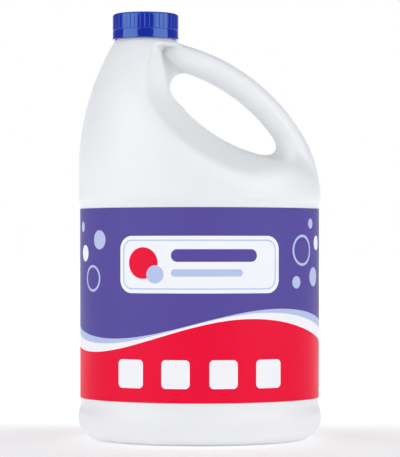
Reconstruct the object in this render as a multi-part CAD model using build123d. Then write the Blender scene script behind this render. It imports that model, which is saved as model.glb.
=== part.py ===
from build123d import *
import os
from math import atan2, cos, hypot, radians, sin, sqrt, tan

# A bleach bottle in millimetres. It stands on z = 0 with its width along X, its front towards -Y
# and its mould's parting plane at y = 0. The neck sits to the left, the grip to the right.

# Oval body, from the foot up to the shoulder
panel_width = 164.4
panel_depth = 142.0
lower_bumper_width = 167.6
upper_bumper_width = 166.6
lower_bumper_height = 19.0
lower_step_height = 4.3
panel_height = 139.7
upper_step_height = 4.0
upper_bumper_height = 3.0
foot_corner_radius = 16.5
wall = 0.9

# Pushed-up bottom with the mould's scar, inside the ring that the bottle stands on, trimmed flat
stand_ring_width = 9.0
stand_trim = 0.1
push_up_height = 5.0
push_up_slope = 9.0
push_up_radius = 3.0
scar_length = 70.0
scar_width = 1.8
scar_height = 0.6

# Shoulder, which leans over to the neck
shoulder_height = 104.5
left_upright = 15.0
front_upright = 8.0
right_bend = 20.0
shoulder_steps = 7

# Neck and its collar
neck_offset = -37.3
collar_radius = 21.1
collar_height = 3.5
neck_radius = 19.8
neck_height = 15.4
mouth_radius = 17.8

# Grip: an oval tube along two tangent arcs, from the collar down to the right side of the body
grip_width = 18.2
grip_depth = 26.0
grip_start_drop = 0.9
grip_start_heading = 12.8
grip_turn_heading = 60.6
grip_foot_inset = 0.4
grip_foot_drop = 1.7
grip_root_length = 14.0
grip_foot_length = 1.0

# Finger recess: its edge in the parting plane, and how its walls flare towards the front and back
recess_floor_rise = 21.3
recess_floor_start = 71.3
recess_sweep_radius = 117.0
recess_turn_heading = 50.0
recess_corner_radius = 19.0
recess_crease_heading = 84.0
recess_flare = 19.0
recess_bend = 8.0
recess_steps = 3
recess_rim_radius = 6.0

# Pinched web left round the finger hole
web_width = 1.1
web_thickness = 2.2
hole_end_radius = 9.0

# Screw cap and its liner
cap_radius = 22.75
cap_bore_radius = 21.2
cap_top_thickness = 1.6
cap_foot_gap = 0.7
cap_band_height = 6.2
cap_top_radius = 1.5
cap_foot_flare = 0.2
cap_foot_height = 1.5
rib_count = 42
groove_width = 1.1
groove_depth = 0.6
liner_thickness = 1.2
liner_clearance = 0.3

# Wrap-round label
label_thickness = 0.15
label_glue_gap = 0.1
label_margin_below = 5.7
label_margin_above = 4.6

# Levels and places worked out from the sizes above
panel_bottom = lower_bumper_height + lower_step_height
panel_top = panel_bottom + panel_height
shoulder_base = panel_top + upper_step_height + upper_bumper_height
collar_top = shoulder_base + shoulder_height
collar_bottom = collar_top - collar_height
mouth_top = collar_top + neck_height
oval = panel_depth / panel_width
half_width = upper_bumper_width / 2
half_depth = half_width * oval
grip_reach = half_width + grip_width
cap_foot = collar_top + cap_foot_gap
liner_top = mouth_top + liner_thickness


def direction(heading):
    """Unit step to the right and down in the front view, at a heading in degrees below level."""
    return Vector(cos(radians(heading)), -sin(radians(heading)))


def upper_normal(heading):
    """Unit step up and to the right, square to a heading."""
    return Vector(sin(radians(heading)), cos(radians(heading)))


def arc_under(center, radius, heading_a, heading_b):
    """Arc below and to the left of its centre, between the points with two headings."""
    headings = (heading_a, (heading_a + heading_b) / 2, heading_b)
    return ThreePointArc(*[center - upper_normal(heading) * radius for heading in headings])


def arc_over(start, radius, heading_a, heading_b):
    """Arc that bends down from a start, between two headings."""
    center = start - upper_normal(heading_a) * radius
    headings = (heading_a, (heading_a + heading_b) / 2, heading_b)
    return ThreePointArc(*[center + upper_normal(heading) * radius for heading in headings])


def arc_in(radius, rise):
    """How far an arc that starts upright has leant in after a rise."""
    return radius - sqrt(radius**2 - rise**2)


def upright_step(start, end, inset):
    """Smooth step from one upright wall to another, sunk by an inset to keep the wall's thickness."""
    lean = (start[0] - end[0]) / hypot(start[0] - end[0], start[1] - end[1])
    low, high = [(radius, level - inset * lean) for radius, level in (start, end)]
    return Spline(low, high, tangents=[(0, 1), (0, 1)])


def body_below_shoulder(inset):
    """Foot, bumpers and label panel: a turned profile, squashed to the oval."""
    low = lower_bumper_width / 2 - inset
    mid = panel_width / 2 - inset
    high = half_width - inset
    slope = atan2(push_up_height, push_up_slope)
    ring_inner = lower_bumper_width / 2 - foot_corner_radius - stand_ring_width + inset * tan(slope / 2)
    ring_level = inset - stand_trim
    push_up_level = push_up_height + inset
    lower_step = upright_step((low, lower_bumper_height), (mid, panel_bottom), inset)
    upper_step = upright_step((mid, panel_top), (high, panel_top + upper_step_height), inset)
    foot = FilletPolyline(
        (0, push_up_level),
        (ring_inner - push_up_slope, push_up_level),
        (ring_inner, ring_level),
        (low, ring_level),
        lower_step @ 0,
        radius=[push_up_radius + inset, push_up_radius - inset, foot_corner_radius - inset],
    )
    panel = Line(lower_step @ 1, upper_step @ 0)
    closing = Polyline(upper_step @ 1, (high, shoulder_base), (0, shoulder_base), (0, push_up_level))
    outline = make_face([foot, lower_step, panel, upper_step, closing])
    turned = revolve(Plane.XZ * outline, Axis.Z)
    return scale(turned, by=(1, oval, 1))


def shoulder_section(rise, inset):
    """Oval cut through the shoulder, between its left and front arcs and its right side's hyperbola."""
    left_lean = half_width + neck_offset - collar_radius
    left_height = shoulder_height - left_upright
    left_radius = (left_lean**2 + left_height**2) / (2 * left_lean)
    left = half_width - inset - arc_in(left_radius - inset, max(rise - left_upright, 0))
    front_lean = half_depth - collar_radius
    front_height = shoulder_height - front_upright
    front_radius = (front_lean**2 + front_height**2) / (2 * front_lean)
    front_inset = inset * oval
    front_rise = max(rise - front_upright, 0)
    front = half_depth - front_inset - arc_in(front_radius - front_inset, front_rise)
    right_lean = half_width - neck_offset - collar_radius
    spread = right_lean / (sqrt(shoulder_height**2 + right_bend**2) - right_bend)
    slant = sqrt(rise**2 + right_bend**2)
    right = half_width - spread * (slant - right_bend) - inset * sqrt(1 + (spread * rise / slant) ** 2)
    oval_face = scale(Circle(1), by=((right + left) / 2, front, 1))
    return Pos((right - left) / 2, 0, shoulder_base + rise) * oval_face


def shoulder(inset):
    """Shoulder lofted through evenly spaced ovals, up to the collar's top."""
    spacing = (shoulder_height - inset) / shoulder_steps
    return loft([shoulder_section(spacing * step, inset) for step in range(shoulder_steps + 1)])


def recess_outline(grow, top):
    """Edge of the finger recess in the front view, moved out into the body by grow."""
    floor = shoulder_base + recess_floor_rise
    sweep_center = Vector(recess_floor_start, floor + recess_sweep_radius)
    center_shift = recess_sweep_radius - recess_corner_radius
    corner_center = sweep_center - upper_normal(recess_turn_heading) * center_shift
    corner_radius = recess_corner_radius + grow
    corner = arc_under(corner_center, corner_radius, recess_crease_heading, recess_turn_heading)
    bottom = arc_under(sweep_center, recess_sweep_radius + grow, recess_turn_heading, 0)
    crease_foot = corner @ 0
    crease_length = (top - crease_foot.Y) / sin(radians(recess_crease_heading))
    crease_top = crease_foot - direction(recess_crease_heading) * crease_length
    rest = Polyline(bottom @ 1, (grip_reach, floor - grow), (grip_reach, top), crease_top, crease_foot)
    return make_face([corner, bottom, rest])


def recess(inset):
    """Solid that cuts the recess: from the parting plane its walls flare out as a hyperbola."""
    reach = half_depth + recess_rim_radius
    slope = recess_flare / half_depth
    sections = []
    for step in range(-recess_steps, recess_steps + 1):
        depth = reach * step / recess_steps
        grow = slope * (sqrt(depth**2 + recess_bend**2) - recess_bend) + inset
        sections.append(Plane.XZ.offset(depth) * recess_outline(grow, collar_bottom + inset))
    return loft(sections)


def carved_shoulder(inset):
    """Shoulder with the recess cut into it and the recess's rim rounded."""
    carved = shoulder(inset) - recess(inset)
    off_middle = carved.edges().filter_by(lambda edge: abs(edge.center().Y) > web_thickness)
    rim_top = collar_bottom - collar_height
    rim = off_middle.filter_by(lambda edge: shoulder_base < edge.center().Z < rim_top)
    return fillet(rim, recess_rim_radius - inset)


def grip_curve(depth):
    """Line along the grip, at a depth under its outer contour: root, two arcs and foot."""
    crown = Vector(neck_offset + collar_radius, collar_top - grip_start_drop)
    heel = Vector(half_width - grip_foot_inset, shoulder_base - grip_foot_drop)
    span = heel - crown
    first = upper_normal(grip_turn_heading) - upper_normal(grip_start_heading)
    second = upper_normal(90) - upper_normal(grip_turn_heading)
    cross = first.X * second.Y - first.Y * second.X
    first_radius = (span.X * second.Y - span.Y * second.X) / cross
    second_radius = (first.X * span.Y - first.Y * span.X) / cross
    start = crown - upper_normal(grip_start_heading) * depth
    root = Line(start - direction(grip_start_heading) * grip_root_length, start)
    upper = arc_over(start, first_radius - depth, grip_start_heading, grip_turn_heading)
    lower = arc_over(upper @ 1, second_radius - depth, grip_turn_heading, 90)
    foot = Line(lower @ 1, lower @ 1 + direction(90) * grip_foot_length)
    return [root, upper, lower, foot]


def grip(inset):
    """Oval tube along the grip's middle line."""
    path = Plane.XZ * (Curve() + grip_curve(grip_width / 2))
    wire = path.wires()[0]
    section = Ellipse(grip_depth / 2 - inset, grip_width / 2 - inset)
    return sweep(Plane(wire @ 0, x_dir=(0, 1, 0), z_dir=wire % 0) * section, path=path)


def upright_cylinder(radius, bottom, top):
    """Cylinder on the neck's axis between two heights."""
    at_bottom = (Align.CENTER, Align.CENTER, Align.MIN)
    return Pos(neck_offset, 0, bottom) * Cylinder(radius, top - bottom, align=at_bottom)


def under_grip(edge_inset):
    """Front view of the gap between the recess's edge and the grip, with its edges moved in."""
    line = grip_curve(grip_width + edge_inset)
    start = line[0] @ 0
    end = line[-1] @ 1
    inside = make_face([*line, Polyline(end, (start.X, end.Y), start)])
    return recess_outline(-edge_inset, collar_bottom) & inside


def web():
    """Flat pinched web that frames the finger hole, with rounded ends."""
    middle = offset(under_grip(web_width), -hole_end_radius)
    frame = under_grip(-wall / 2) - offset(middle, hole_end_radius)
    return extrude(Plane.XZ * frame, web_thickness / 2, both=True)


def form(inset, bore_radius):
    """Whole moulding, moved in by an inset, with a straight neck of the given radius."""
    body = body_below_shoulder(inset) + carved_shoulder(inset) + grip(inset)
    return body + upright_cylinder(bore_radius, collar_bottom - collar_height, mouth_top)


def make_bottle():
    """Blow moulding: the outer form less the cavity, with the web and the scar under the push-up."""
    scar_middle = push_up_height - scar_height / 2
    scar = Pos(0, 0, scar_middle) * Box(scar_length, scar_width, scar_height)
    trimming = Pos(0, 0, -push_up_height / 2) * Box(grip_reach * 2, grip_reach * 2, push_up_height)
    return form(0, neck_radius) - trimming - form(wall, mouth_radius) + web() + scar


def make_cap():
    """Ribbed screw cap, open below, with a plain band and a slight flare at its foot."""
    top = liner_top + cap_top_thickness
    profile = Polyline(
        (0, liner_top),
        (cap_bore_radius, liner_top),
        (cap_bore_radius, cap_foot),
        (cap_radius + cap_foot_flare, cap_foot),
        (cap_radius, cap_foot + cap_foot_height),
        (cap_radius, top),
        (0, top),
        close=True,
    )
    section = make_face(profile)
    rim = section.vertices().group_by(Axis.Y)[-1].sort_by(Axis.X)[-1]
    cap = revolve(Plane.XZ * fillet(rim, cap_top_radius), Axis.Z)
    groove_bottom = cap_foot + cap_band_height
    at_bottom = (Align.CENTER, Align.CENTER, Align.MIN)
    groove = Pos(0, 0, groove_bottom) * Cylinder(groove_width / 2, top - groove_bottom, align=at_bottom)
    groove_place = cap_radius - groove_depth + groove_width / 2
    first_groove = Pos(0, -groove_place, 0) * groove
    grooves = [Rot(0, 0, 360 * rib / rib_count) * first_groove for rib in range(rib_count)]
    return Pos(neck_offset, 0, 0) * (cap - grooves)


def make_cap_liner():
    """Foam disc between the cap's top and the mouth."""
    return upright_cylinder(cap_bore_radius - liner_clearance, mouth_top, liner_top)


def make_label():
    """Film sleeve round the sunk panel, squashed like the body."""
    inner = panel_width / 2 + label_glue_gap
    bottom = panel_bottom + label_margin_below
    height = panel_height - label_margin_below - label_margin_above
    strip = Pos(inner, bottom) * Rectangle(label_thickness, height, align=(Align.MIN, Align.MIN))
    return scale(revolve(Plane.XZ * strip, Axis.Z), by=(1, oval, 1))


os.makedirs("parts", exist_ok=True)
export_step(make_bottle(), "parts/bottle.step")
export_step(make_cap(), "parts/cap.step")
export_step(make_cap_liner(), "parts/cap_liner.step")
export_step(make_label(), "parts/label.step")
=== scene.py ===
import math

import bpy
import numpy as np
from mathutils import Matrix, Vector


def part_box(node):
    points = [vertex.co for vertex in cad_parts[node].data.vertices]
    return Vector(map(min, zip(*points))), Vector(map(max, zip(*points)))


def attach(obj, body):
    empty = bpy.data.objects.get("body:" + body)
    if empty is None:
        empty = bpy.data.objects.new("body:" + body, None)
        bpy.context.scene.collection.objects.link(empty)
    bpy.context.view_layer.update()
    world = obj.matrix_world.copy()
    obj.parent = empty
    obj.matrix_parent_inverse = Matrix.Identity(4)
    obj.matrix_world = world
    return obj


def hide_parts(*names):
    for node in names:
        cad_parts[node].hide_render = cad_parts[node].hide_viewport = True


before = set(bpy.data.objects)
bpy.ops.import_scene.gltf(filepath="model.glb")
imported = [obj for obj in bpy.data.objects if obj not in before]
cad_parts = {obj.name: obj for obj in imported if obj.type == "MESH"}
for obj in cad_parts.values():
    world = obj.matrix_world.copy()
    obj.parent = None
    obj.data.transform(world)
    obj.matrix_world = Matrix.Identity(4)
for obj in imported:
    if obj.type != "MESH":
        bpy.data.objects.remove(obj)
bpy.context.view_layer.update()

bl_info = {
    "name": "Bleach Bottle",
    "version": (1, 0, 0),
    "blender": (4, 5, 0),
    "location": "View3D > Sidebar > Bottle",
    "description": "Gives the packed bottle its moulded skin, threads, ribbed cap, printed film and studio",
    "category": "Object",
}

MM = 0.001

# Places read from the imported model, in metres
BOTTLE_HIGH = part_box("bottle")[1]
LABEL_LOW, LABEL_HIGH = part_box("label")
CAP_LOW, CAP_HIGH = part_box("cap")
LINER_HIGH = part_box("cap_liner")[1]
NECK_X = (CAP_LOW.x + CAP_HIGH.x) / 2

# Body, in half widths and heights in millimetres, with the base on z = 0 and the grip towards +x
OVAL = 142.0 / 164.4
BUMPER = 83.78
PANEL = 82.2
SHOULDER = 83.3
FRONT_DEPTH = SHOULDER * OVAL
LOWER_STEP = 17.5
LOWER_STEP_RISE = 7.5
UPPER_STEP = 162.0
UPPER_STEP_RISE = 2.4
SHOULDER_BASE = 170.0
SHOULDER_RISE = 104.5
LEFT_UPRIGHT = 15.0
FRONT_UPRIGHT = 8.0
RIGHT_BEND = 20.0
BODY_TOP = 274.1
BODY_TOP_ROUND = 1.2

# Foot, the ring that it stands on, the push-up inside the ring and the pinch-off scar, in millimetres
FOOT_CORNER = 15.5
STAND_RING = 7.0
PUSH_UP = 5.0
PUSH_UP_SLOPE = 14.0
PUSH_UP_CLEAR = 2.0
PUSH_UP_ROUND = 1.5
SCAR_HEIGHT = 0.7
SCAR_HALF_WIDTH = 1.7
SCAR_SLOPE = 1.0
SCAR_HALF_LENGTH = 36.0
SCAR_END = 2.0

# Collar, neck and screw thread, in millimetres, with the thread's ends run out in radians
NECK = -37.3
COLLAR = 21.1
COLLAR_TOP = 274.8
COLLAR_BOTTOM = 270.2
COLLAR_LAND = 1.4
COLLAR_ROUND = 0.6
NECK_RADIUS = 19.8
NECK_SINK = 2.2
NECK_ROOT = 0.4
NECK_ROW = 0.3
BORE_RADIUS = 17.8
BORE_START = 2.4
BORE_ROWS = 9
RIM_OUT = 0.8
RIM_IN = 0.7
THREAD_TURNS = 1.5
THREAD_START = 279.0
THREAD_HALF = 1.2
THREAD_FLANK = 0.7
THREAD_RUN_OUT = 0.5
CAP_THREAD = 1.15

# Edge of the finger recess, in millimetres and degrees: floor, wide sweep, tight corner and crease
RECESS_FLOOR = 191.3
RECESS_START = 71.3
RECESS_SWEEP = 117.0
RECESS_TURN = 50.0
RECESS_CORNER = 19.0
RECESS_CREASE = 84.0

# Wall of the recess: where its flare runs out towards the grip's foot, and its roundings
FLARE_FULL = 30.0
FLARE_FADE = 50.0
WALL_BEND = 2.0
LEDGE_ROUND = 5.0
CREASE_ROUND = 1.8
CREASE_LOW = 248.0
CREASE_FADE = 30.0

# Grip, in millimetres and degrees: its line, its nose at the collar and its spread towards the foot
GRIP_START = 12.8
GRIP_TURN = 60.6
GRIP_DROP = 1.8
HEEL_IN = 0.4
HEEL_DROP = 1.7
GRIP_BOTTOM = 163.0
GRIP_SINK = 0.6
GRIP_TOP_ROUND = 2.0
GRIP_SPREAD = 0.3
SPREAD_TOP = 222.0
SPREAD_FADE = 45.0
NOSE_X = -25.3
NOSE_Z = 269.0
NOSE_HEADING = 72.0
NOSE_ROUND = 14.0

# Fillet between body and grip: along it, added under it, and added where its foot spreads
GRIP_FILLET = 1.5
UNDER_FILLET = 2.0
FOOT_FILLET = 18.0
FOOT_X = 38.0
FOOT_X_FADE = 25.0
FOOT_Z = 230.0
FOOT_Z_FADE = 30.0
FOOT_SKIN = 2.0
FOOT_SKIN_FADE = 12.0

# Pinched web round the hole, a little wider beside the body than under the grip
WEB_STEP = 1.3
WEB_STEP_X = -20.0
WEB_STEP_FADE = 45.0
WEB_GRIP_SHARE = 0.6
HOLE_CORNER = 14.5
WEB_ROUND = 1.6
WEB_FILLET = 1.2
WEB_SINK = 3.0
WEB_TOP = 270.0

# Grid of the net over the body, as start, stop and step in millimetres: fine round the hole and the grip
GRID_X = ((-87.3, -31.0, 2.3), (-30.0, 56.0, 1.55), (57.3, 88.0, 2.0))
GRID_Z = ((-3.1, 28.0, 2.0), (35.0, 158.0, 122.0 / 11), (160.5, 190.0, 2.0), (191.5, 278.0, 1.42))
GRID_REACH = 76.0
GRID_CROWD = 1.7
GRID_LAYERS = 89
MOUTH_BAND = 0.6
MOUTH_CUT = 18.8
MOUTH_RING = 19.0

# Cap, in millimetres: foot flare, wall, plain band with the fine line over it, and the ribs' ends
CAP_FLARE = 0.2
CAP_WALL = 1.55
CAP_BAND = 6.2
CAP_BEND = 1.5
LINE_DEPTH = 0.15
LINE_HALF = 0.2
FLUTE_END = 0.6

# Film: its mesh, the arc past a full turn in radians, and the lap in film thicknesses and millimetres
FILM_ROWS = 9
FILM_COLUMNS = 640
ARC_SAMPLES = 4001
LAP_TURN = 0.3
LAP_LIFT = 1.1
LAP_RAMP = 3.0

# Studio, in metres, with the backdrop's span as the y part of a unit direction
FLOOR_REACH = 30.0
FLOOR_LIT = (-0.1, 0.42)
FLOOR_BRIGHT = 0.95
BACKDROP = (0.8, 0.975)
SIDE_LIGHT = (1.25, -0.85, 0.70)
SIDE_LIGHT_SIZE = (1.65, 1.6)
TOP_LIGHT = (0.0, -0.1, 1.6)
TOP_LIGHT_SIZE = (1.4, 1.4)
LIGHT_AIM = Vector((0, 0, 0.15))


def hex_colour(text):
    """An sRGB hex colour as linear red, green, blue and alpha."""
    parts = [int(text[at:at + 2], 16) / 255 for at in (1, 3, 5)]
    linear = [p / 12.92 if p <= 0.04045 else ((p + 0.055) / 1.055) ** 2.4 for p in parts]
    return (*linear, 1.0)


def colour(name, description, text):
    """A colour property with an sRGB hex default."""
    return bpy.props.FloatVectorProperty(
        name=name, description=description, default=hex_colour(text), size=4, subtype="COLOR", min=0, max=1
    )


def length(name, description, size):
    """A length property with a default in millimetres."""
    return bpy.props.FloatProperty(name=name, description=description, default=size * MM, unit="LENGTH")


def amount(name, description, default, unit="NONE"):
    """A number property, with a unit where one fits."""
    return bpy.props.FloatProperty(name=name, description=description, default=default, unit=unit)


class BottleSizes(bpy.types.PropertyGroup):
    """Sizes of the dressed pieces."""

    wall: length("Wall", "Thickness of the blown wall", 0.9)
    rim_radius: length("Recess rim", "Rounding of the finger recess's rim", 8.0)
    recess_flare: length("Recess flare", "How far the recess opens out at the bottle's face", 18.0)
    grip_width: length("Grip width", "Grip across its bend", 17.7)
    grip_depth: length("Grip depth", "Grip from front to back", 26.0)
    web_width: length("Web width", "Trimmed web left round the hole", 1.1)
    web_thickness: length("Web thickness", "Two walls pressed together", 2.2)
    thread_pitch: length("Thread pitch", "Rise of the thread in one turn", 25.4 / 6)
    thread_depth: length("Thread depth", "Height of the thread on the neck", 1.2)
    rib_count: bpy.props.IntProperty(name="Cap ribs", description="Ribs round the cap", default=42, min=12)
    groove_width: length("Groove width", "Groove between two ribs", 0.8)
    groove_depth: length("Groove depth", "Groove between two ribs", 0.13)
    film: length("Film", "Thickness of the label film", 0.15)
    film_lap: length("Film lap", "Overlap of the label's two ends at the back", 9.0)


class BottleColours(bpy.types.PropertyGroup):
    """Colours of the plastics, the print, the floor and the room."""

    moulding: colour("Moulding", "White HDPE", "#F9F9FA")
    cap: colour("Cap", "Dark blue polypropylene", "#0E1CA0")
    liner: colour("Liner", "Foamed polyethylene", "#E6E4DA")
    ground: colour("Print ground", "Purple of the label", "#5A4E9C")
    field: colour("Print field", "Red of the label", "#EE1139")
    pale: colour("Print pale", "Lilac of the label", "#B9C5E8")
    plain: colour("Print plain", "Unprinted white film", "#F3F4F8")
    floor: colour("Floor", "Pale acrylic table", "#F2F2F2")
    room: colour("Room", "Cool dim light from the unlit side of the room", "#E3EEF7")


class StageSizes(bpy.types.PropertyGroup):
    """Camera and light settings."""

    distance: length("Camera distance", "From the bottle's middle plane", 1500.0)
    eye: length("Eye level", "Camera height", 130.0)
    side: length("Camera side", "Camera's place along the bottle's width", 0.3)
    lens: amount("Lens", "Focal length in millimetres", 171.0, "CAMERA")
    rise: amount("Rise", "Vertical shift of the frame", 0.0475)
    sky: amount("Backdrop", "Brightness of the white room", 1.0)
    front_sky: amount("Room front", "Brightness behind the camera", 0.22)
    side_power: amount("Side lights", "Watts each", 16.3, "POWER")
    top_power: amount("Top light", "Watts", 4.4, "POWER")
    table: amount("Table glow", "Light through the table top", 0.18)


def smooth_step(t):
    """0 below 0, 1 above 1 and an S curve between."""
    t = np.clip(t, 0.0, 1.0)
    return t * t * (3 - 2 * t)


def round_max(a, b, radius):
    """The larger of two distances, with the crease between them rounded."""
    near = np.maximum(radius - np.abs(a - b), 0.0) / radius
    return np.maximum(a, b) + near * near * radius / 4


def round_min(a, b, radius):
    """The smaller of two distances, with the crease between them filled."""
    return -round_max(-a, -b, radius)


def round_corner(a, b, radius):
    """The larger of two distances, with a quarter circle where the two faces meet."""
    corner = np.hypot(np.maximum(a + radius, 0.0), np.maximum(b + radius, 0.0))
    return np.minimum(np.maximum(a, b), -radius) + corner


def oval_distance(across, along, half_across, half_along):
    """Distance to an oval: its ratio less one, divided by how fast the ratio grows there."""
    ratio = np.hypot(across / half_across, along / half_along)
    growth = np.hypot(across / half_across**2, along / half_along**2) / np.maximum(ratio, 1e-6)
    return (ratio - 1) / np.maximum(growth, 1e-4)


def arc_in(lean, height, rise):
    """How far an arc that starts upright and leans in by lean at height has come in at rise."""
    radius = (lean**2 + height**2) / (2 * lean)
    return radius - np.sqrt(np.maximum(radius**2 - np.clip(rise, 0, height)**2, 0.0))


def body_ovals(z):
    """Centre, half width and half depth of the body's oval at each height."""
    rise = np.clip(z - SHOULDER_BASE, 0, SHOULDER_RISE)
    straight = BUMPER + (PANEL - BUMPER) * smooth_step((z - LOWER_STEP) / LOWER_STEP_RISE)
    straight = straight + (SHOULDER - PANEL) * smooth_step((z - UPPER_STEP) / UPPER_STEP_RISE)
    left_lean = SHOULDER + NECK - COLLAR
    left = straight - arc_in(left_lean, SHOULDER_RISE - LEFT_UPRIGHT, rise - LEFT_UPRIGHT)
    front_lean = FRONT_DEPTH - COLLAR
    front = straight * OVAL - arc_in(front_lean, SHOULDER_RISE - FRONT_UPRIGHT, rise - FRONT_UPRIGHT)
    spread = (SHOULDER - NECK - COLLAR) / (math.hypot(SHOULDER_RISE, RIGHT_BEND) - RIGHT_BEND)
    right = straight - spread * (np.hypot(rise, RIGHT_BEND) - RIGHT_BEND)
    return (right - left) / 2, (right + left) / 2, front


def body_distance(x, y, z):
    """Distance to the stacked ovals, with a rounded foot, the push-up and its scar, and a flat top."""
    centre, width, depth = body_ovals(z)
    side = oval_distance(x - centre, y, width, depth)
    foot = round_corner(side, -z, FOOT_CORNER)
    out = np.hypot(x, y / OVAL)
    pushed = smooth_step((BUMPER - FOOT_CORNER - STAND_RING - out) / PUSH_UP_SLOPE)
    scar = smooth_step((SCAR_HALF_WIDTH - np.abs(y)) / SCAR_SLOPE)
    scar = scar * smooth_step((SCAR_HALF_LENGTH - np.abs(x)) / SCAR_END)
    lift = PUSH_UP * pushed - PUSH_UP_CLEAR * (1 - pushed) - SCAR_HEIGHT * scar
    return round_max(round_max(foot, lift - z, PUSH_UP_ROUND), z - BODY_TOP, BODY_TOP_ROUND)


def normal_at(heading):
    """The upward normal of a line that falls to the right at this heading, in degrees."""
    return math.sin(math.radians(heading)), math.cos(math.radians(heading))


def recess_distance(x, z):
    """How far a point lies outside the recess's edge: floor, wide sweep, tight corner, then the crease."""
    sweep_x, sweep_z = RECESS_START, RECESS_FLOOR + RECESS_SWEEP
    turn_x, turn_z = normal_at(RECESS_TURN)
    corner_x = sweep_x - turn_x * (RECESS_SWEEP - RECESS_CORNER)
    corner_z = sweep_z - turn_z * (RECESS_SWEEP - RECESS_CORNER)
    crease_x, crease_z = normal_at(RECESS_CREASE)
    at_sweep = np.degrees(np.arctan2(sweep_x - x, sweep_z - z))
    at_corner = np.degrees(np.arctan2(corner_x - x, corner_z - z))
    floor = RECESS_FLOOR - z
    sweep = np.hypot(x - sweep_x, z - sweep_z) - RECESS_SWEEP
    corner = np.hypot(x - corner_x, z - corner_z) - RECESS_CORNER
    crease = (corner_x - x) * crease_x + (corner_z - z) * crease_z - RECESS_CORNER
    upper = np.where((at_corner > RECESS_CREASE) | (at_corner < -90), crease, corner)
    return np.where(at_sweep <= 0, floor, np.where(at_sweep <= RECESS_TURN, sweep, upper))


def grip_arcs(depth):
    """Two centres with radii, and the foot, of the line this far inside the grip's outer contour."""
    start_x, start_z = NECK + COLLAR, COLLAR_TOP - GRIP_DROP
    heel_x, heel_z = SHOULDER - HEEL_IN, SHOULDER_BASE - HEEL_DROP
    first, turn, last = (np.array(normal_at(heading)) for heading in (GRIP_START, GRIP_TURN, 90.0))
    steps = np.column_stack([turn - first, last - turn])
    one, two = np.linalg.solve(steps, [heel_x - start_x, heel_z - start_z])
    centre_one = np.array([start_x, start_z]) - first * one
    centre_two = centre_one + turn * (one - two)
    return centre_one, one - depth, centre_two, two - depth, heel_x - depth


def grip_offset(x, z, depth):
    """Signed distance to the grip's middle line: straight root, two arcs and an upright foot."""
    one, one_radius, two, two_radius, foot = grip_arcs(depth)
    root_x, root_z = normal_at(GRIP_START)
    at_one = np.degrees(np.arctan2(x - one[0], z - one[1]))
    at_two = np.degrees(np.arctan2(x - two[0], z - two[1]))
    root = (x - one[0]) * root_x + (z - one[1]) * root_z - one_radius
    upper = np.hypot(x - one[0], z - one[1]) - one_radius
    lower = np.where(at_two <= 90, np.hypot(x - two[0], z - two[1]) - two_radius, x - foot)
    return np.where(at_one < GRIP_START, root, np.where(at_one <= GRIP_TURN, upper, lower))


def carved_distance(x, y, z, edge, flare, rim):
    """Body less the recess, whose wall opens out to the front and back and ends under the collar."""
    slant = flare / FRONT_DEPTH * (1 - smooth_step((x - FLARE_FULL) / FLARE_FADE))
    wall = (slant * (np.hypot(y, WALL_BEND) - WALL_BEND) - edge) / np.hypot(1.0, slant)
    clear = round_min(wall, COLLAR_BOTTOM - z, LEDGE_ROUND)
    rounding = CREASE_ROUND + (rim - CREASE_ROUND) * smooth_step((CREASE_LOW - z) / CREASE_FADE)
    return round_max(body_distance(x, y, z), clear, rounding)


def tube_distance(x, y, z, offset, half, deep):
    """Oval tube along the grip's line, deeper towards its foot, with a rounded nose at the collar."""
    deep = deep * (1 + GRIP_SPREAD * smooth_step((SPREAD_TOP - z) / SPREAD_FADE))
    nose_x, nose_z = normal_at(NOSE_HEADING)
    nose = (NOSE_X - x) * nose_x + (NOSE_Z - z) * nose_z
    tube = round_max(oval_distance(offset, y, half, deep), nose, NOSE_ROUND)
    tube = round_max(tube, z - COLLAR_TOP + GRIP_SINK, GRIP_TOP_ROUND)
    return np.maximum(tube, GRIP_BOTTOM - z)


def joint_fillet(x, z, offset, half):
    """Fillet between body and grip: tight along it, fuller under it and wide where its foot spreads."""
    foot = smooth_step((x - FOOT_X) / FOOT_X_FADE) * smooth_step((FOOT_Z - z) / FOOT_Z_FADE)
    foot = foot * smooth_step((half - FOOT_SKIN - offset) / FOOT_SKIN_FADE)
    return GRIP_FILLET + UNDER_FILLET * smooth_step(-offset / half) + FOOT_FILLET * foot


def web_distance(x, y, z, edge, offset, half, web, pinch):
    """Pinched web in the middle plane, between body and grip, less the hole with its rounded ends."""
    ledge = web + WEB_STEP - WEB_STEP * smooth_step((x - WEB_STEP_X) / WEB_STEP_FADE)
    hole = round_corner(edge + ledge, offset + half + WEB_GRIP_SHARE * web, HOLE_CORNER)
    sheet = round_max(np.abs(y) - pinch, -hole, WEB_ROUND)
    return np.maximum(np.maximum(sheet, offset), np.maximum(edge - WEB_SINK, z - WEB_TOP))


def bottle_distance(sizes):
    """The moulding as one distance function: body, less the recess, plus the grip and the pinched web."""
    half, deep = sizes.grip_width / MM / 2, sizes.grip_depth / MM / 2
    flare, rim = sizes.recess_flare / MM, sizes.rim_radius / MM
    web, pinch = sizes.web_width / MM, sizes.web_thickness / MM / 2

    def distance(x, y, z):
        edge = recess_distance(x, z)
        offset = grip_offset(x, z, half)
        carved = carved_distance(x, y, z, edge, flare, rim)
        tube = tube_distance(x, y, z, offset, half, deep)
        joined = round_min(carved, tube, joint_fillet(x, z, offset, half))
        return round_min(joined, web_distance(x, y, z, edge, offset, half, web, pinch), WEB_FILLET)

    return distance


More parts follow.
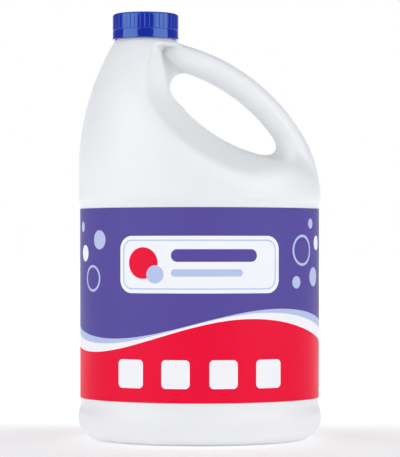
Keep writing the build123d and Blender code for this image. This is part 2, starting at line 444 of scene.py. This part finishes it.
def surface_net(distance, xs, ys, zs):
    """Net of one vertex per grid cell that the surface crosses, each slid along the slope onto it."""
    axes = (xs, ys, zs)
    values = distance(*np.meshgrid(xs, ys, zs, indexing="ij"))
    inside = values < 0
    corners = [(i, j, k) for i in (0, 1) for j in (0, 1) for k in (0, 1)]
    size = np.array(values.shape) - 1
    count = sum(
        inside[i:i + size[0], j:j + size[1], k:k + size[2]].astype(np.int8) for i, j, k in corners
    )
    active = (count > 0) & (count < len(corners))
    cells = np.argwhere(active)
    index = np.full(tuple(size), -1)
    index[active] = np.arange(len(cells))
    total = np.zeros((len(cells), 3))
    crossings = np.zeros((len(cells), 1))
    for low in corners:
        for axis in range(3):
            if low[axis]:
                continue
            high = list(low)
            high[axis] = 1
            a, b = cells + low, cells + high
            value_a, value_b = values[tuple(a.T)], values[tuple(b.T)]
            crossed = (value_a < 0) != (value_b < 0)
            share = (crossed * value_a / np.where(crossed, value_a - value_b, 1))[:, None]
            point_a = np.column_stack([axes[d][a[:, d]] for d in range(3)])
            point_b = np.column_stack([axes[d][b[:, d]] for d in range(3)])
            total += crossed[:, None] * (point_a + (point_b - point_a) * share)
            crossings += crossed[:, None]
    points = total / crossings
    nudge, longest, least_slope = 0.05, 0.8, 0.2
    for _ in range(4):
        slope = np.column_stack([
            (distance(*(points + side).T) - distance(*(points - side).T)) / (2 * nudge)
            for side in np.eye(3) * nudge
        ])
        away = distance(*points.T) / np.maximum((slope**2).sum(1), least_slope)
        points = points - slope * np.clip(away, -longest, longest)[:, None]
    quads = []
    for axis in range(3):
        one, two = (axis + 1) % 3, (axis + 2) % 3
        starts = np.take(inside, range(size[axis]), axis)
        ends = np.take(inside, range(1, size[axis] + 1), axis)
        edges = np.argwhere(starts != ends)
        outward = starts[tuple(edges.T)]
        ring = []
        for back_one, back_two in ((1, 1), (0, 1), (0, 0), (1, 0)):
            cell = edges.copy()
            cell[:, one] -= back_one
            cell[:, two] -= back_two
            ring.append(index[tuple(cell.T)])
        ring = np.column_stack(ring)
        quads.append(np.where(outward[:, None], ring, ring[:, ::-1]))
    return points, np.vstack(quads)


def open_mouth(points, quads):
    """Takes the faces under the neck away and draws the edge that is left out to a true circle."""
    out = np.hypot(points[:, 0] - NECK, points[:, 1])
    mouth = ((points[:, 2] > BODY_TOP - MOUTH_BAND) & (out < MOUTH_CUT))[quads].any(1)
    kept = quads[~mouth]
    edge = np.intersect1d(quads[mouth], kept)
    middle = np.array([NECK, 0.0])
    points[edge, :2] = middle + (points[edge, :2] - middle) * (MOUTH_RING / out[edge])[:, None]
    used, faces = np.unique(kept, return_inverse=True)
    return points[used], faces.reshape(kept.shape)


def grid_quads(rows, columns, wrap_rows, wrap_columns):
    """Faces of a grid whose vertices run column by column inside each row."""
    row = np.arange(rows if wrap_rows else rows - 1)[:, None]
    column = np.arange(columns if wrap_columns else columns - 1)[None, :]
    next_row, next_column = (row + 1) % rows, (column + 1) % columns
    quads = [row * columns + column, row * columns + next_column]
    quads += [next_row * columns + next_column, next_row * columns + column]
    return np.stack(quads, -1).reshape(-1, 4)


def turned_points(radius, height, angle):
    """Rings about the neck's axis: radius and height in millimetres, row by row, as points in metres."""
    height = np.broadcast_to(height, radius.shape)
    rings = np.stack([radius * np.cos(angle), radius * np.sin(angle), height], -1)
    return rings.reshape(-1, 3) * MM + (NECK_X, 0, 0)


def thread_rise(angle, z, start, pitch):
    """Height of a screw thread, 0 to 1: a flat-topped ridge along a helix, run out over its two ends."""
    height = np.zeros(np.broadcast(angle, z).shape)
    for lap in range(math.ceil(THREAD_TURNS) + 1):
        along = angle + math.tau * lap
        ends = smooth_step(along / THREAD_RUN_OUT)
        ends = ends * smooth_step((THREAD_TURNS * math.tau - along) / THREAD_RUN_OUT)
        off = np.abs(z - start - pitch * along / math.tau)
        height = np.maximum(height, ends * smooth_step((THREAD_HALF - off) / THREAD_FLANK))
    return height


def make_piece(name, points, faces, body, material, sharp=None, uv=None):
    """A mesh object in metres, smooth shaded, riding its body and taking its finish from a slot."""
    mesh = bpy.data.meshes.new(name)
    mesh.from_pydata(points, [], faces)
    mesh.polygons.foreach_set("use_smooth", np.ones(len(mesh.polygons), bool))
    if uv is not None:
        corner = np.empty(len(mesh.loops), np.int32)
        mesh.loops.foreach_get("vertex_index", corner)
        mesh.uv_layers.new(name="print").data.foreach_set("uv", uv[corner].ravel())
    if sharp is not None:
        mesh.set_sharp_from_angle(angle=math.radians(sharp))
    mesh.materials.append(material)
    piece = bpy.data.objects.new(name, mesh)
    bpy.context.scene.collection.objects.link(piece)
    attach(piece, body)
    return piece


def add_node(tree, kind, settings, values):
    """Adds a node, sets its options, and gives each input a constant or a link."""
    node = tree.nodes.new(kind)
    for key, value in settings.items():
        setattr(node, key, value)
    for key, value in values.items():
        if isinstance(value, bpy.types.NodeSocket):
            tree.links.new(value, node.inputs[key])
        else:
            node.inputs[key].default_value = value
    return node


def new_material(name):
    """An empty material with its tree, its shader and its coordinates."""
    material = bpy.data.materials.new(name)
    material.use_nodes = True
    tree = material.node_tree
    tree.nodes.clear()
    shader = add_node(tree, "ShaderNodeBsdfPrincipled", {}, {})
    add_node(tree, "ShaderNodeOutputMaterial", {}, {"Surface": shader.outputs["BSDF"]})
    place = add_node(tree, "ShaderNodeTexCoord", {}, {})
    return material, tree, shader, place


def per_metre(size):
    """A texture's scale from the real size of its pattern: how many such millimetres fit in a metre."""
    return 1 / (size * MM)


# Span of a noise texture that holds most of its values
NOISE_SPAN = {"From Min": 0.3, "From Max": 0.7}


def moulding_material(colours):
    """Blow-moulded HDPE: milky satin skin with orange peel, faint die lines and a parting line."""
    material, tree, shader, place = new_material("white_hdpe")
    # Real peel is about 1 mm across, and is drawn coarser so that it shows
    peel = add_node(tree, "ShaderNodeTexNoise", {}, {
        "Vector": place.outputs["Object"], "Scale": per_metre(2.38), "Detail": 2.0, "Roughness": 0.5,
    })
    stretch = add_node(tree, "ShaderNodeMapping", {}, {
        "Vector": place.outputs["Object"], "Scale": (per_metre(3.85), per_metre(3.85), per_metre(143.0)),
    })
    lines = add_node(tree, "ShaderNodeTexNoise", {}, {
        "Vector": stretch.outputs["Vector"], "Scale": 1.0, "Detail": 2.0, "Roughness": 0.6,
    })
    parts = add_node(tree, "ShaderNodeSeparateXYZ", {}, {"Vector": place.outputs["Object"]})
    aside = add_node(tree, "ShaderNodeMath", {"operation": "ABSOLUTE"}, {0: parts.outputs["Y"]})
    seam = add_node(tree, "ShaderNodeMapRange", {"interpolation_type": "SMOOTHSTEP"}, {
        "Value": aside.outputs["Value"], "From Min": 0.1 * MM, "From Max": 0.45 * MM,
        "To Min": 1.0, "To Max": 0.0,
    })
    cloud = add_node(tree, "ShaderNodeTexNoise", {}, {
        "Vector": place.outputs["Object"], "Scale": per_metre(45.5), "Detail": 3.0, "Roughness": 0.5,
    })
    tone = add_node(tree, "ShaderNodeMapRange", {}, {
        "Value": cloud.outputs["Fac"], **NOISE_SPAN, "To Min": 0.965, "To Max": 1.0,
    })
    tint = add_node(tree, "ShaderNodeHueSaturation", {}, {
        "Value": tone.outputs["Result"], "Color": colours.moulding,
    })
    sheen = add_node(tree, "ShaderNodeMapRange", {}, {
        "Value": cloud.outputs["Fac"], **NOISE_SPAN, "To Min": 0.36, "To Max": 0.46,
    })
    normal = None
    for relief, strength, depth in (
        (peel.outputs["Fac"], 0.35, 0.12),
        (lines.outputs["Fac"], 0.3, 0.2),
        (seam.outputs["Result"], 0.6, 0.2),
    ):
        under = {} if normal is None else {"Normal": normal}
        bump = add_node(tree, "ShaderNodeBump", {}, {
            "Height": relief, "Strength": strength, "Distance": depth * MM, **under,
        })
        normal = bump.outputs["Normal"]
    tree.links.new(tint.outputs["Color"], shader.inputs["Base Color"])
    tree.links.new(sheen.outputs["Result"], shader.inputs["Roughness"])
    tree.links.new(normal, shader.inputs["Normal"])
    shader.inputs["IOR"].default_value = 1.54
    shader.inputs["Subsurface Weight"].default_value = 0.4
    shader.inputs["Subsurface Radius"].default_value = (3 * MM, 2.8 * MM, 2.6 * MM)
    shader.inputs["Subsurface Scale"].default_value = 1.0
    return material


def cap_material(colours):
    """Injection-moulded polypropylene: deep glossy blue off a polished mould, with faint flow marks."""
    material, tree, shader, place = new_material("blue_polypropylene")
    flow = add_node(tree, "ShaderNodeTexNoise", {}, {
        "Vector": place.outputs["Object"], "Scale": per_metre(11.1), "Detail": 3.0, "Roughness": 0.55,
    })
    tone = add_node(tree, "ShaderNodeMapRange", {}, {
        "Value": flow.outputs["Fac"], **NOISE_SPAN, "To Min": 0.94, "To Max": 1.05,
    })
    tint = add_node(tree, "ShaderNodeHueSaturation", {}, {
        "Value": tone.outputs["Result"], "Color": colours.cap,
    })
    sheen = add_node(tree, "ShaderNodeMapRange", {}, {
        "Value": flow.outputs["Fac"], **NOISE_SPAN, "To Min": 0.09, "To Max": 0.14,
    })
    grain = add_node(tree, "ShaderNodeTexNoise", {}, {
        "Vector": place.outputs["Object"], "Scale": per_metre(0.714), "Detail": 1.0,
    })
    bump = add_node(tree, "ShaderNodeBump", {}, {
        "Height": grain.outputs["Fac"], "Strength": 0.15, "Distance": 0.04 * MM,
    })
    tree.links.new(tint.outputs["Color"], shader.inputs["Base Color"])
    tree.links.new(sheen.outputs["Result"], shader.inputs["Roughness"])
    tree.links.new(bump.outputs["Normal"], shader.inputs["Normal"])
    shader.inputs["IOR"].default_value = 1.6
    shader.inputs["Specular IOR Level"].default_value = 1.0
    shader.inputs["Specular Tint"].default_value = (0.4, 0.75, 1.0, 1.0)
    return material


def liner_material(colours):
    """Foamed polyethylene wad: soft dull skin with closed cells just showing."""
    material, tree, shader, place = new_material("foam_liner")
    # Real cells are about 0.2 mm across, and are drawn coarser so that they show
    cells = add_node(tree, "ShaderNodeTexVoronoi", {}, {
        "Vector": place.outputs["Object"], "Scale": per_metre(0.556),
    })
    tone = add_node(tree, "ShaderNodeMapRange", {}, {
        "Value": cells.outputs["Distance"], "From Min": 0.0, "From Max": 0.8, "To Min": 1.0, "To Max": 0.9,
    })
    tint = add_node(tree, "ShaderNodeHueSaturation", {}, {
        "Value": tone.outputs["Result"], "Color": colours.liner,
    })
    bump = add_node(tree, "ShaderNodeBump", {}, {
        "Height": cells.outputs["Distance"], "Strength": 0.4, "Distance": 0.1 * MM,
    })
    tree.links.new(tint.outputs["Color"], shader.inputs["Base Color"])
    tree.links.new(bump.outputs["Normal"], shader.inputs["Normal"])
    shader.inputs["Roughness"].default_value = 0.7
    return material


# Print of the label, in metres: along the film from the middle of the front, and up from its lower edge
WAVE_COUNT = 2

# Waves: ink, height, swing and phase
WAVES = (
    ("pale", 0.0520, 0.0100, 0.10),
    ("plain", 0.0490, 0.0105, 0.35),
    ("field", 0.0440, 0.0115, 0.65),
)

# Rounded plates: ink, place along and up, half sizes along and up, and corner
PLATES = (
    ("plain", 0.0, 0.0915, 0.0560, 0.0190, 0.0090),
    ("pale", 0.0, 0.0915, 0.0535, 0.0165, 0.0068),
    ("plain", 0.0, 0.0915, 0.0527, 0.0157, 0.0060),
    ("ground", 0.0100, 0.0975, 0.0290, 0.0042, 0.0042),
    ("pale", 0.0050, 0.0860, 0.0240, 0.0024, 0.0024),
    ("plain", 0.1760, 0.0760, 0.0360, 0.0450, 0.0060),
    ("pale", 0.1760, 0.0760, 0.0345, 0.0435, 0.0048),
    ("plain", 0.1760, 0.0760, 0.0337, 0.0427, 0.0040),
    ("plain", -0.1760, 0.0880, 0.0330, 0.0250, 0.0060),
    ("ground", -0.1760, 0.0880, 0.0315, 0.0235, 0.0048),
    *(("plain", along, 0.0190, 0.0095, 0.0095, 0.0030) for along in (-0.0480, -0.0160, 0.0160, 0.0480)),
)

# Discs: ink, place along and up, and radius
DISCS = (
    ("field", -0.0385, 0.0925, 0.0105),
    ("pale", -0.0300, 0.0850, 0.0060),
    ("pale", 0.0790, 0.1010, 0.0105),
    ("ground", 0.0790, 0.1010, 0.0088),
    ("pale", 0.0950, 0.0830, 0.0065),
    ("pale", 0.0725, 0.0795, 0.0042),
    ("plain", 0.1010, 0.1060, 0.0050),
    ("pale", 0.0900, 0.1190, 0.0034),
    ("pale", -0.0840, 0.0820, 0.0090),
    ("ground", -0.0840, 0.0820, 0.0074),
    ("plain", -0.0960, 0.0990, 0.0056),
    ("pale", -0.0760, 0.1080, 0.0064),
    ("pale", -0.1010, 0.1170, 0.0036),
)


def print_masks(tree, spot, girth):
    """Each ink with the mask of its field, in the order of printing: waves, rounded plates and discs."""
    masks = []
    parts = add_node(tree, "ShaderNodeSeparateXYZ", {}, {"Vector": spot})
    for ink, height, swing, phase in WAVES:
        turn = add_node(tree, "ShaderNodeMath", {"operation": "MULTIPLY_ADD"}, {
            0: parts.outputs["X"], 1: math.tau * WAVE_COUNT / girth, 2: phase,
        })
        sine = add_node(tree, "ShaderNodeMath", {"operation": "SINE"}, {0: turn.outputs[0]})
        crest = add_node(tree, "ShaderNodeMath", {"operation": "MULTIPLY_ADD"}, {
            0: sine.outputs[0], 1: swing, 2: height,
        })
        below = add_node(tree, "ShaderNodeMath", {"operation": "LESS_THAN"}, {
            0: parts.outputs["Y"], 1: crest.outputs[0],
        })
        masks.append((ink, below.outputs[0]))
    reaches = []
    for ink, along, up, half_along, half_up, corner in PLATES:
        moved = add_node(tree, "ShaderNodeVectorMath", {"operation": "SUBTRACT"}, {
            0: spot, 1: (along, up, 0),
        })
        folded = add_node(tree, "ShaderNodeVectorMath", {"operation": "ABSOLUTE"}, {0: moved.outputs[0]})
        past = add_node(tree, "ShaderNodeVectorMath", {"operation": "SUBTRACT"}, {
            0: folded.outputs[0], 1: (half_along - corner, half_up - corner, 0),
        })
        outside = add_node(tree, "ShaderNodeVectorMath", {"operation": "MAXIMUM"}, {
            0: past.outputs[0], 1: (0, 0, 0),
        })
        away = add_node(tree, "ShaderNodeVectorMath", {"operation": "LENGTH"}, {0: outside.outputs[0]})
        reaches.append((ink, away.outputs["Value"], corner))
    for ink, along, up, radius in DISCS:
        away = add_node(tree, "ShaderNodeVectorMath", {"operation": "DISTANCE"}, {
            0: spot, 1: (along, up, 0),
        })
        reaches.append((ink, away.outputs["Value"], radius))
    for ink, away, reach in reaches:
        within = add_node(tree, "ShaderNodeMath", {"operation": "LESS_THAN"}, {0: away, 1: reach})
        masks.append((ink, within.outputs[0]))
    return masks


def label_material(colours, girth):
    """Gravure-printed polypropylene film: flat inks under matt lacquer, a little wavy over its glue."""
    material, tree, shader, place = new_material("printed_film")
    print_colour = colours.ground
    for ink, mask in print_masks(tree, place.outputs["UV"], girth):
        laid = add_node(tree, "ShaderNodeMix", {"data_type": "RGBA"}, {
            0: mask, 6: print_colour, 7: getattr(colours, ink),
        })
        print_colour = laid.outputs[2]
    wavy = add_node(tree, "ShaderNodeTexNoise", {}, {
        "Vector": place.outputs["Object"], "Scale": per_metre(33.3), "Detail": 2.0,
    })
    bump = add_node(tree, "ShaderNodeBump", {}, {
        "Height": wavy.outputs["Fac"], "Strength": 0.25, "Distance": 0.6 * MM,
    })
    sheen = add_node(tree, "ShaderNodeMapRange", {}, {
        "Value": wavy.outputs["Fac"], **NOISE_SPAN, "To Min": 0.34, "To Max": 0.42,
    })
    tree.links.new(print_colour, shader.inputs["Base Color"])
    tree.links.new(sheen.outputs["Result"], shader.inputs["Roughness"])
    tree.links.new(bump.outputs["Normal"], shader.inputs["Normal"])
    shader.inputs["IOR"].default_value = 1.49
    shader.inputs["Specular IOR Level"].default_value = 0.08
    return material


def floor_material(colours, glow):
    """Matt acrylic light table: pale, faintly mottled, lit from below and most behind the bottle."""
    material, tree, shader, place = new_material("pale_floor")
    mottle = add_node(tree, "ShaderNodeTexNoise", {}, {
        "Vector": place.outputs["Object"], "Scale": per_metre(3.33), "Detail": 3.0,
    })
    tone = add_node(tree, "ShaderNodeMapRange", {}, {
        "Value": mottle.outputs["Fac"], **NOISE_SPAN, "To Min": 0.985, "To Max": 1.0,
    })
    tint = add_node(tree, "ShaderNodeHueSaturation", {}, {
        "Value": tone.outputs["Result"], "Color": colours.floor,
    })
    parts = add_node(tree, "ShaderNodeSeparateXYZ", {}, {"Vector": place.outputs["Object"]})
    lit = add_node(tree, "ShaderNodeMapRange", {"interpolation_type": "SMOOTHSTEP"}, {
        "Value": parts.outputs["Y"], "From Min": FLOOR_LIT[0], "From Max": FLOOR_LIT[1],
        "To Min": glow, "To Max": FLOOR_BRIGHT,
    })
    tree.links.new(tint.outputs["Color"], shader.inputs["Base Color"])
    tree.links.new(lit.outputs["Result"], shader.inputs["Emission Strength"])
    shader.inputs["Roughness"].default_value = 0.8
    shader.inputs["Emission Color"].default_value = (1, 1, 1, 1)
    return material


class BOTTLE_OT_body(bpy.types.Operator):
    """Moulds the body with its recess, grip and web."""

    bl_idname = "bottle.body"
    bl_label = "Moulded Body"

    def execute(self, context):
        sizes = context.scene.bottle_sizes
        xs = np.concatenate([np.arange(*span) for span in GRID_X])
        ys = GRID_REACH * np.sinh(GRID_CROWD * np.linspace(-1, 1, GRID_LAYERS)) / math.sinh(GRID_CROWD)
        zs = np.concatenate([np.arange(*span) for span in GRID_Z])
        points, quads = open_mouth(*surface_net(bottle_distance(sizes), xs, ys, zs))
        material = moulding_material(context.scene.bottle_colours)
        piece = make_piece("bottle_body", points * MM, quads.tolist(), "bottle", material)
        shell = piece.modifiers.new("wall", "SOLIDIFY")
        shell.thickness = sizes.wall
        shell.offset = -1.0
        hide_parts("bottle")
        return {"FINISHED"}


class BOTTLE_OT_neck(bpy.types.Operator):
    """Turns the neck with its collar, screw thread, rim and bore."""

    bl_idname = "bottle.neck"
    bl_label = "Threaded Neck"

    def execute(self, context):
        sizes = context.scene.bottle_sizes
        angle = np.linspace(0, math.tau, 240, endpoint=False)[None, :]
        bend = np.linspace(0, math.pi / 2, 5)
        rise, fall = 1 - np.sin(bend), 1 - np.cos(bend)
        mouth, root = BOTTLE_HIGH.z / MM, COLLAR_TOP - NECK_SINK
        outer_z = np.arange(COLLAR_TOP + NECK_ROOT, mouth - RIM_OUT, NECK_ROW)
        bore_z = np.linspace(mouth - BORE_START, root, BORE_ROWS)
        rows = [
            (np.full(2, COLLAR), np.array([root, COLLAR_TOP - COLLAR_LAND])),
            (COLLAR - COLLAR_ROUND * fall, COLLAR_TOP - COLLAR_ROUND * rise),
            (NECK_RADIUS + NECK_ROOT * rise, COLLAR_TOP + NECK_ROOT * fall),
            (np.full(len(outer_z), NECK_RADIUS), outer_z),
            (NECK_RADIUS - RIM_OUT * fall, mouth - RIM_OUT * rise),
            (BORE_RADIUS + RIM_IN * rise, mouth - RIM_IN * fall),
            (np.full(BORE_ROWS, BORE_RADIUS), bore_z),
        ]
        radius, height = (np.concatenate(part)[:, None] for part in zip(*rows))
        ridge = thread_rise(angle, height, THREAD_START, sizes.thread_pitch / MM)
        ridge[sum(len(row[0]) for row in rows[:4]):] = 0
        points = turned_points(radius + sizes.thread_depth / MM * ridge, height, angle)
        quads = grid_quads(len(height), angle.size, True, True)
        material = bpy.data.materials["white_hdpe"]
        piece = make_piece("bottle_neck", points, quads.tolist(), "bottle", material, 50)
        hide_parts("bottle")
        return {"FINISHED"}


class BOTTLE_OT_cap(bpy.types.Operator):
    """Moulds the ribbed cap with its matching thread inside."""

    bl_idname = "bottle.cap"
    bl_label = "Ribbed Cap"

    def execute(self, context):
        sizes = context.scene.bottle_sizes
        top, foot, under = CAP_HIGH.z / MM, CAP_LOW.z / MM, LINER_HIGH.z / MM
        reach = (CAP_HIGH.x - CAP_LOW.x) / 2 / MM - CAP_FLARE
        bore_radius, line = reach - CAP_WALL, foot + CAP_BAND
        half_groove, groove = sizes.groove_width / MM / 2, sizes.groove_depth / MM
        pitch = math.tau * reach / sizes.rib_count
        near = half_groove * np.array([0, 0.35, 0.68, 0.9, 1.0, 1.3, 2.2])
        across = np.concatenate([-near[:0:-1], near, [pitch / 2]])
        middles = np.arange(sizes.rib_count)[:, None] * pitch
        angle = (middles + across).reshape(1, -1) / reach - math.pi / 2
        across = np.tile(across, sizes.rib_count)[None, :]
        bend = np.linspace(0, math.pi / 2, 8)
        wall_z = np.concatenate([
            np.linspace(top - 2.7, line + 1.2, 5),
            line + np.array([0.6, 0.3, 0.15, 0, -0.15, -0.9, -2.5, -4.4]),
        ])
        bore_z = np.concatenate([np.arange(foot + 0.4, under - 4, 0.35), [under - 3, under - 1]])
        foot_out = reach + CAP_FLARE * np.array([0.5, 0.95, 0.75, -0.25])
        rows = [
            (np.array([5.0, 13.0, 19.0]), np.full(3, top)),
            (reach - CAP_BEND * (1 - np.sin(bend)), top - CAP_BEND * (1 - np.cos(bend))),
            (np.full(len(wall_z), reach), wall_z),
            (foot_out, foot + np.array([0.9, 0.2, 0.05, 0])),
            (bore_radius + np.array([0.3, 0]), foot + np.array([0, 0.15])),
            (np.full(len(bore_z), bore_radius), bore_z),
            (np.array([bore_radius, 20.0, 10.0]), np.full(3, under)),
        ]
        radius, height = (np.concatenate(part)[:, None] for part in zip(*rows))
        row = np.arange(len(height))[:, None]
        outer = row < sum(len(part[0]) for part in rows[:3])
        bore = row >= sum(len(part[0]) for part in rows[:5])
        flute = groove * smooth_step(1 - np.abs(across) / half_groove)
        cut = flute * smooth_step((height - line) / FLUTE_END)
        cut = cut + LINE_DEPTH * np.maximum(1 - np.abs(height - line) / LINE_HALF, 0)
        grown = np.where(outer, np.minimum(radius, reach - cut), radius)
        thread_pitch = sizes.thread_pitch / MM
        ridge = thread_rise(angle % math.tau, height, THREAD_START - thread_pitch / 2, thread_pitch)
        grown = np.where(bore, grown - CAP_THREAD * ridge, grown)
        centres = [[NECK_X, 0, CAP_HIGH.z], [NECK_X, 0, LINER_HIGH.z]]
        points = np.vstack([turned_points(grown, height, angle), centres])
        count = angle.size
        quads = grid_quads(len(height), count, False, True)[:, ::-1].tolist()
        ring = np.arange(count)
        after = (ring + 1) % count
        end = (len(height) - 1) * count
        quads += np.column_stack([ring, after, np.full(count, len(points) - 2)]).tolist()
        quads += np.column_stack([end + after, end + ring, np.full(count, len(points) - 1)]).tolist()
        material = cap_material(context.scene.bottle_colours)
        piece = make_piece("ribbed_cap", points, quads, "cap", material, 40)
        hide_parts("cap")
        return {"FINISHED"}


class BOTTLE_OT_liner(bpy.types.Operator):
    """Gives the liner under the cap its foam."""

    bl_idname = "bottle.liner"
    bl_label = "Foam Liner"

    def execute(self, context):
        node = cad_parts["cap_liner"]
        node.data.materials.clear()
        node.data.materials.append(liner_material(context.scene.bottle_colours))
        return {"FINISHED"}


class BOTTLE_OT_label(bpy.types.Operator):
    """Wraps the printed film round the panel, lapped at the back."""

    bl_idname = "bottle.label"
    bl_label = "Film Label"

    def execute(self, context):
        sizes = context.scene.bottle_sizes
        half_width, half_depth = LABEL_HIGH.x - sizes.film, LABEL_HIGH.y - sizes.film
        turn = np.linspace(-math.pi, math.pi + LAP_TURN, ARC_SAMPLES)
        steps = np.hypot(np.diff(half_width * np.sin(turn)), np.diff(half_depth * np.cos(turn)))
        run = np.concatenate([[0], np.cumsum(steps)])
        girth = np.interp(math.pi, turn, run)
        along = np.linspace(0, girth + sizes.film_lap, FILM_COLUMNS)
        angle = np.interp(along, run, turn)
        ramp = LAP_RAMP * MM
        lift = LAP_LIFT * sizes.film * smooth_step((along - girth + ramp / 2) / ramp)
        up = np.linspace(LABEL_LOW.z, LABEL_HIGH.z, FILM_ROWS)
        faces = np.repeat([sizes.film, 0.0], FILM_ROWS)
        out = faces[:, None] + lift[None, :]
        height = np.broadcast_to(np.concatenate([up, up[::-1]])[:, None], out.shape)
        points = np.stack([
            (half_width + out) * np.sin(angle), -(half_depth + out) * np.cos(angle), height,
        ], -1).reshape(-1, 3)
        last = 2 * FILM_ROWS - 1
        quads = grid_quads(last + 1, FILM_COLUMNS, True, False).tolist()
        row = np.arange(FILM_ROWS - 1)
        ends = np.column_stack([row, row + 1, last - 1 - row, last - row]) * FILM_COLUMNS
        quads += ends.tolist()
        quads += (ends[:, ::-1] + FILM_COLUMNS - 1).tolist()
        flat = np.broadcast_to(along - girth / 2, out.shape)
        uv = np.stack([flat, height - LABEL_LOW.z], -1).reshape(-1, 2)
        material = label_material(context.scene.bottle_colours, girth)
        piece = make_piece("film_label", points, quads, "bottle", material, 40, uv)
        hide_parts("label")
        return {"FINISHED"}


def lay_floor(scene):
    """The pale floor, which is no part of the bottle."""
    mesh = bpy.data.meshes.new("floor")
    corners = [(x * FLOOR_REACH, y * FLOOR_REACH, 0) for x, y in ((-1, -1), (1, -1), (1, 1), (-1, 1))]
    mesh.from_pydata(corners, [], [(0, 1, 2, 3)])
    mesh.materials.append(floor_material(scene.bottle_colours, scene.bottle_stage.table))
    floor = bpy.data.objects.new("floor", mesh)
    scene.collection.objects.link(floor)


def hang_lights(scene):
    """Two large softboxes at the sides and a weak one above, all aimed at the bottle's middle."""
    stage = scene.bottle_stage
    side_x, side_y, side_z = SIDE_LIGHT
    lights = (
        ("left_softbox", (-side_x, side_y, side_z), SIDE_LIGHT_SIZE, stage.side_power),
        ("right_softbox", (side_x, side_y, side_z), SIDE_LIGHT_SIZE, stage.side_power),
        ("top_softbox", TOP_LIGHT, TOP_LIGHT_SIZE, stage.top_power),
    )
    for name, place, size, power in lights:
        data = bpy.data.lights.new(name, "AREA")
        data.shape = "RECTANGLE"
        data.size, data.size_y = size
        data.energy = power
        lamp = bpy.data.objects.new(name, data)
        lamp.location = place
        lamp.rotation_mode = "QUATERNION"
        lamp.rotation_quaternion = (LIGHT_AIM - lamp.location).to_track_quat("-Z", "Y")
        scene.collection.objects.link(lamp)


def light_room(scene):
    """A white backdrop straight behind the bottle, fading into a dim cool room on all other sides."""
    stage = scene.bottle_stage
    world = bpy.data.worlds.new("white_room")
    world.use_nodes = True
    tree = world.node_tree
    room = tree.nodes["Background"]
    way = add_node(tree, "ShaderNodeTexCoord", {}, {})
    parts = add_node(tree, "ShaderNodeSeparateXYZ", {}, {"Vector": way.outputs["Generated"]})
    behind = add_node(tree, "ShaderNodeMapRange", {"interpolation_type": "SMOOTHSTEP"}, {
        "Value": parts.outputs["Y"], "From Min": BACKDROP[0], "From Max": BACKDROP[1],
    })
    glow = add_node(tree, "ShaderNodeMapRange", {}, {
        "Value": behind.outputs["Result"], "To Min": stage.front_sky, "To Max": stage.sky,
    })
    tint = add_node(tree, "ShaderNodeMix", {"data_type": "RGBA"}, {
        0: behind.outputs["Result"], 6: scene.bottle_colours.room, 7: (1, 1, 1, 1),
    })
    tree.links.new(tint.outputs[2], room.inputs["Color"])
    tree.links.new(glow.outputs["Result"], room.inputs["Strength"])
    scene.world = world


def place_camera(scene):
    """A level camera in front of the bottle, with the frame shifted up a little."""
    stage = scene.bottle_stage
    data = bpy.data.cameras.new("camera")
    data.lens = stage.lens
    data.sensor_width = 36
    data.shift_y = stage.rise
    camera = bpy.data.objects.new("camera", data)
    camera.location = (stage.side, -stage.distance, stage.eye)
    camera.rotation_euler = (math.pi / 2, 0, 0)
    scene.collection.objects.link(camera)
    scene.camera = camera
    scene.view_settings.view_transform = "Standard"


class BOTTLE_OT_stage(bpy.types.Operator):
    """Sets the pale floor, the soft lights, the white room and the camera."""

    bl_idname = "bottle.stage"
    bl_label = "Studio"

    def execute(self, context):
        for step in (lay_floor, hang_lights, light_room, place_camera):
            step(context.scene)
        return {"FINISHED"}


GROUPS = {"bottle_sizes": BottleSizes, "bottle_colours": BottleColours, "bottle_stage": StageSizes}
OPERATORS = (
    BOTTLE_OT_body, BOTTLE_OT_neck, BOTTLE_OT_cap, BOTTLE_OT_liner, BOTTLE_OT_label, BOTTLE_OT_stage,
)


class BOTTLE_PT_panel(bpy.types.Panel):
    """Lists the bottle's settings and operators."""

    bl_idname = "BOTTLE_PT_panel"
    bl_label = "Bleach Bottle"
    bl_space_type = "VIEW_3D"
    bl_region_type = "UI"
    bl_category = "Bottle"

    def draw(self, context):
        for group, kind in GROUPS.items():
            box = self.layout.box()
            for name in kind.__annotations__:
                box.prop(getattr(context.scene, group), name)
        for operator in OPERATORS:
            self.layout.operator(operator.bl_idname)


CLASSES = (*GROUPS.values(), *OPERATORS, BOTTLE_PT_panel)


def register():
    for kind in CLASSES:
        bpy.utils.register_class(kind)
    for name, group in GROUPS.items():
        setattr(bpy.types.Scene, name, bpy.props.PointerProperty(type=group))


def unregister():
    for name in GROUPS:
        delattr(bpy.types.Scene, name)
    for kind in reversed(CLASSES):
        bpy.utils.unregister_class(kind)


def main():
    register()
    bpy.ops.bottle.body()
    bpy.ops.bottle.neck()
    bpy.ops.bottle.cap()
    bpy.ops.bottle.liner()
    bpy.ops.bottle.label()
    bpy.ops.bottle.stage()
    bpy.context.view_layer.update()


if __name__ == "__main__":
    main()
